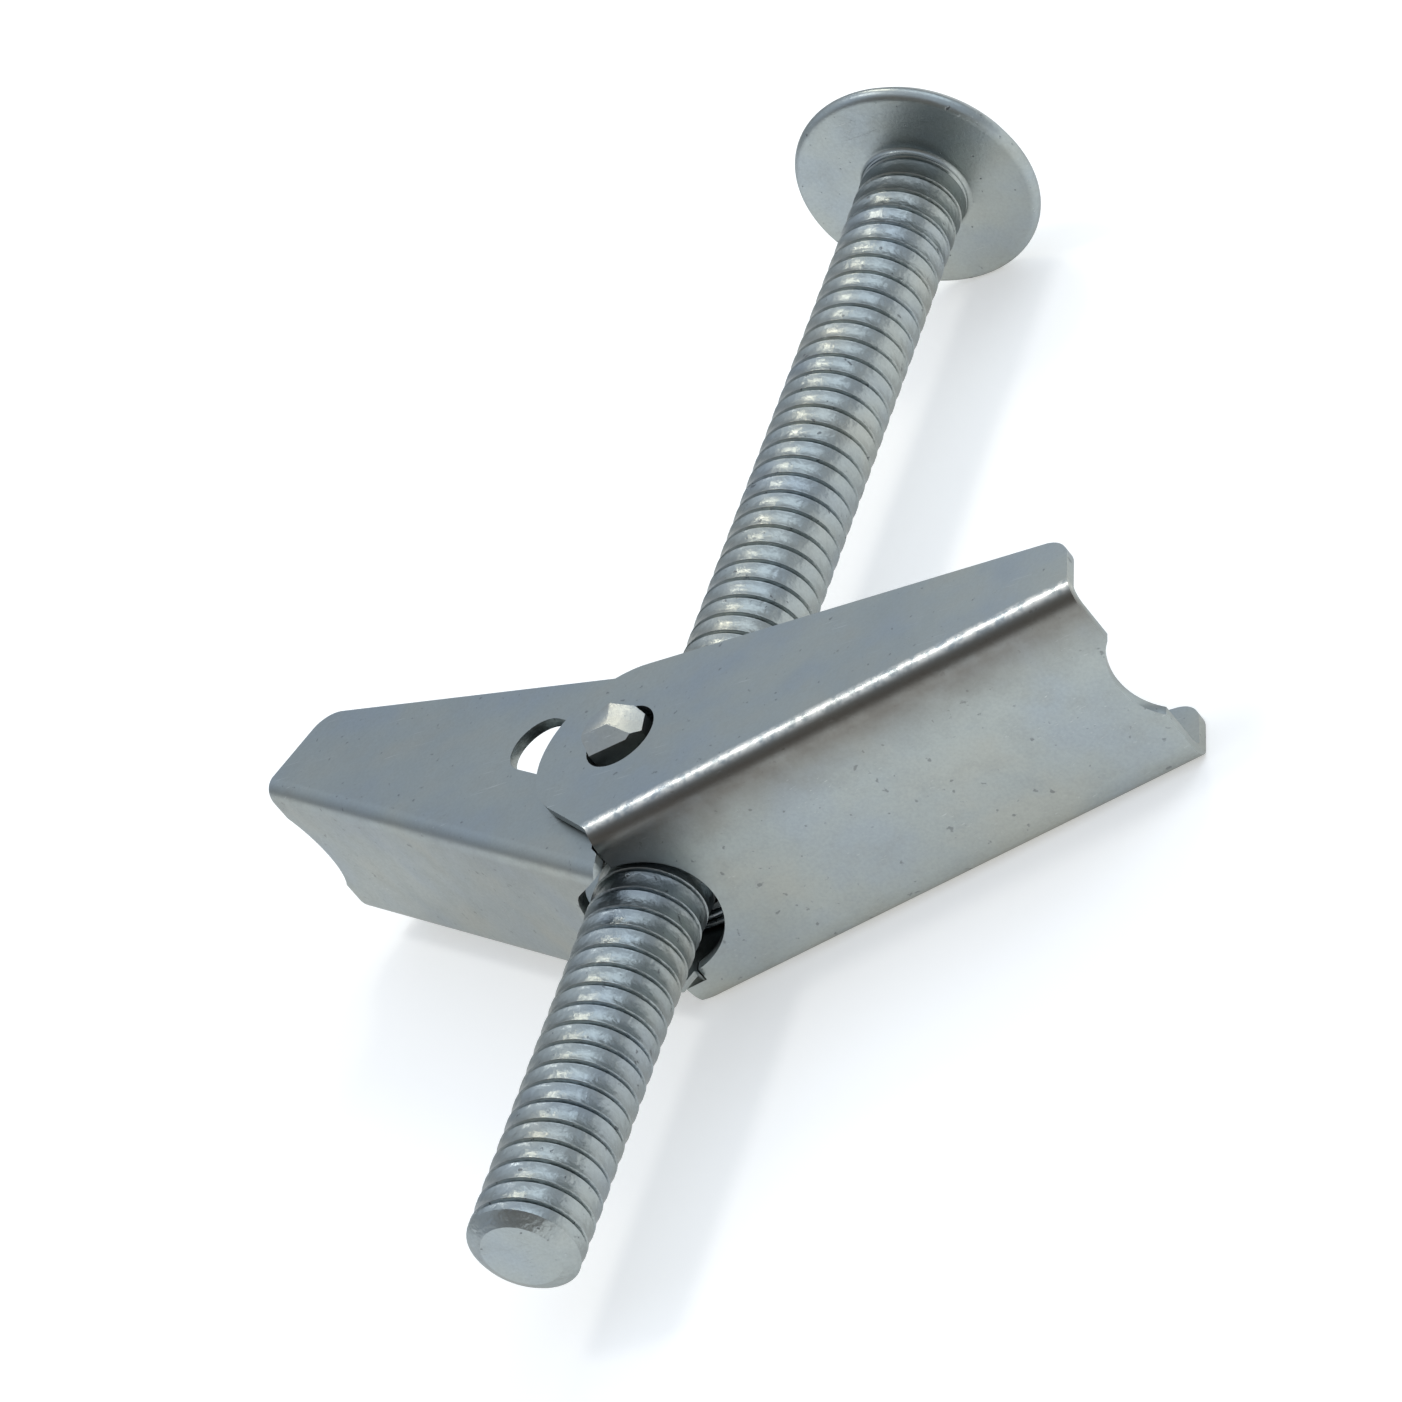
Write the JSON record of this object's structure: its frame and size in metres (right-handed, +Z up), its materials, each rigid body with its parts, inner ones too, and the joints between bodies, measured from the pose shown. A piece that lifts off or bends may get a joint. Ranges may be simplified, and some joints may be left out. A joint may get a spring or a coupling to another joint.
{
  "type": "butterfly toggle anchor",
  "caption": "Spring toggle bolt for hollow walls: truss head machine screw, trunnion nut and spring-loaded folded sheet wings that fold back toward the head.",
  "frame": {"origin": "centre of the bounding box in X and Y, at its bottom in Z, where the anchor rests on a table", "axes": "+Y along the screw from tip to head, +X towards the outer wing, +Z up and along the wings' pivot"},
  "size_m": [0.0442, 0.0654, 0.0112],
  "materials": {
    "screw_zinc": "cool, slightly dull grey zinc plate",
    "nut_zinc": "cool, slightly dull grey zinc plate",
    "outer_zinc": "cool, slightly dull grey zinc plate",
    "inner_zinc": "cool, slightly dull grey zinc plate",
    "spring_wire": "drawn spring wire"
  },
  "bodies": {
    "screw": {"machine_screw": "screw_zinc"},
    "nut": {"trunnion_nut": "nut_zinc", "torsion_spring": "spring_wire"},
    "wing_outer": {"outer_wing": "outer_zinc"},
    "wing_inner": {"inner_wing": "inner_zinc"}
  },
  "joints": [
    {"name": "nut_travel", "type": "slide", "parent": "screw", "child": "nut", "axis": [0, 1, 0], "range_m": [-0.02, 0.015]},
    {"name": "outer_wing_fold", "type": "hinge", "parent": "nut", "child": "wing_outer", "pos_m": [-0.00033, -0.00833, 0.0056], "axis": [0, 0, 1], "range_deg": [0, 79], "stiffness_Nm_per_rad": 0.012, "springref_deg": -28.65, "deforming": ["torsion_spring"]},
    {"name": "inner_wing_fold", "type": "hinge", "parent": "nut", "child": "wing_inner", "pos_m": [-0.00033, -0.00833, 0.0056], "axis": [0, 0, -1], "range_deg": [0, 67], "stiffness_Nm_per_rad": 0.012, "springref_deg": -28.65, "deforming": ["torsion_spring"]}
  ]
}
